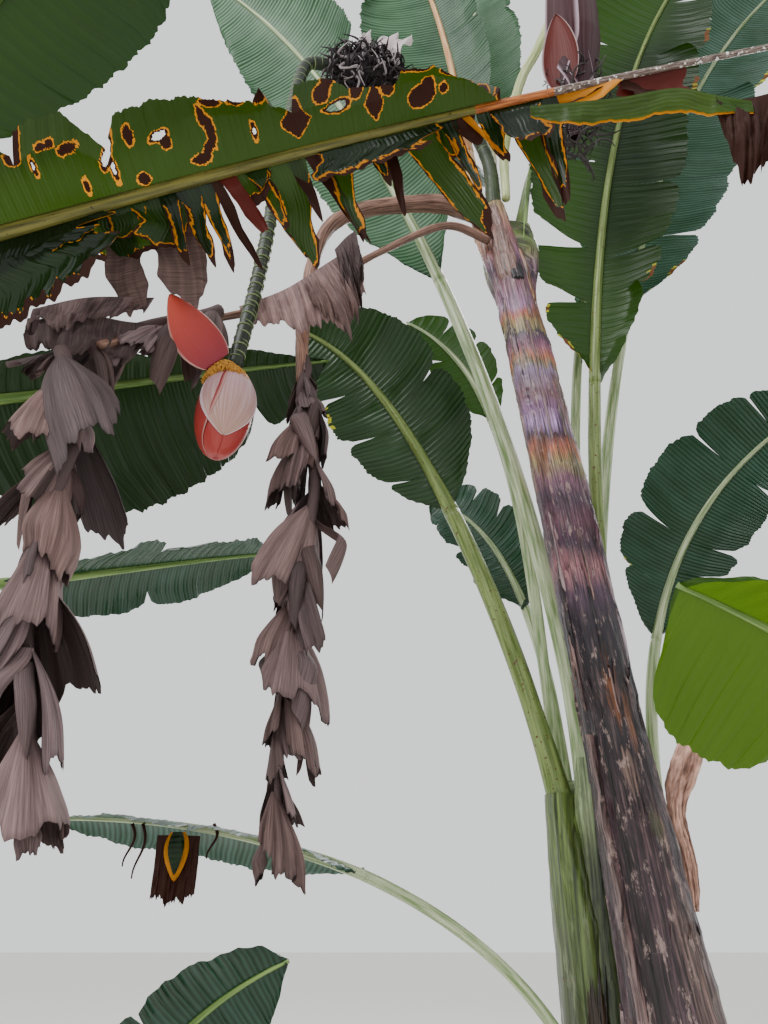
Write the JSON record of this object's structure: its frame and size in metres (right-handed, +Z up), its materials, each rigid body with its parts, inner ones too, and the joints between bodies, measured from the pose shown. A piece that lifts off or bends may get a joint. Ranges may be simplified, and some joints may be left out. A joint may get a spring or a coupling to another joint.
{
  "type": "banana plant",
  "caption": "Clump of banana stems with long torn leaves, hanging dead leaves, an arching flower stalk with a red bud and a second purple bud.",
  "frame": {"origin": "centre of the flat cut under the main stem, on level ground", "axes": "+Z up; +Y away from the picture's viewer; +X to the viewer's right"},
  "size_m": [6.4304, 3.4295, 6.5521],
  "materials": {
    "wet_dark_sheath": "wet, streaked",
    "green_sheath": "waxy, streaked",
    "leaf_stalk": "waxy, striped",
    "leaf_blade": "glossy, cross-ribbed",
    "burnt_blade": "glossy, with brown-edged holes",
    "dead_leaf": "dry, crumpled",
    "dead_stalk": "dry, fibrous",
    "flower_stalk": "ringed with scars",
    "pale_bud": "waxy",
    "red_bract": "waxy",
    "dried_flowers": "brittle",
    "purple_bud": "waxy"
  },
  "bodies": {
    "root": {"main_stem": "wet_dark_sheath", "second_stem": "green_sheath", "left_stem": "green_sheath", "sucker_stem": "green_sheath", "hidden_stem": "green_sheath", "right_stem": "green_sheath", "small_stem": "green_sheath", "main_leaf_left_stalk": "leaf_stalk", "main_leaf_middle_stalk": "leaf_stalk", "main_leaf_back_stalk": "leaf_stalk", "ribbed_leaf_stalk": "leaf_stalk", "tall_left_leaf_stalk": "leaf_stalk", "striped_leaf_stalk": "leaf_stalk", "tall_right_leaf_stalk": "leaf_stalk", "tall_back_leaf_stalk": "leaf_stalk", "holed_leaf_stalk": "leaf_stalk", "left_leaf_high_stalk": "leaf_stalk", "leaf_behind_bud_stalk": "leaf_stalk", "left_leaf_outer_stalk": "leaf_stalk", "left_leaf_back_stalk": "leaf_stalk", "sucker_leaf_stalk": "leaf_stalk", "hidden_stem_leaf_stalk": "leaf_stalk", "right_leaf_outer_stalk": "leaf_stalk", "main_leaf_left_blade": "leaf_blade", "main_leaf_middle_blade": "leaf_blade", "main_leaf_right": "leaf_blade", "main_leaf_back_blade": "leaf_blade", "ribbed_leaf_blade": "leaf_blade", "tall_left_leaf_blade": "leaf_blade", "striped_leaf_blade": "leaf_blade", "low_back_leaf": "leaf_blade", "rolled_leaf": "leaf_blade", "tall_right_leaf_blade": "leaf_blade", "tall_back_leaf_blade": "leaf_blade", "left_leaf_high_blade": "leaf_blade", "leaf_behind_bud_blade": "leaf_blade", "left_leaf_low": "leaf_blade", "left_leaf_outer_blade": "leaf_blade", "left_leaf_back_blade": "leaf_blade", "left_leaf_front": "leaf_blade", "sucker_leaf_blade": "leaf_blade", "small_sucker_leaf": "leaf_blade", "hidden_stem_leaf_blade": "leaf_blade", "torn_right_leaf": "leaf_blade", "right_leaf_outer_blade": "leaf_blade", "right_leaf_front": "leaf_blade", "holed_leaf_blade": "burnt_blade", "fruit_stalk": "flower_stalk", "flower_stalk": "flower_stalk", "second_flower_stalk": "flower_stalk", "dried_bunch": "dried_flowers", "bud": "pale_bud", "raised_bract": "red_bract", "second_bud": "purple_bud", "thick_dead_stalk": "dead_stalk", "thin_dead_stalk": "dead_stalk", "centre_dead_leaf": "dead_leaf", "dead_blade": "dead_leaf", "left_dead_leaf": "dead_leaf", "right_dead_sheath": "dead_leaf"}
  },
  "joints": []
}
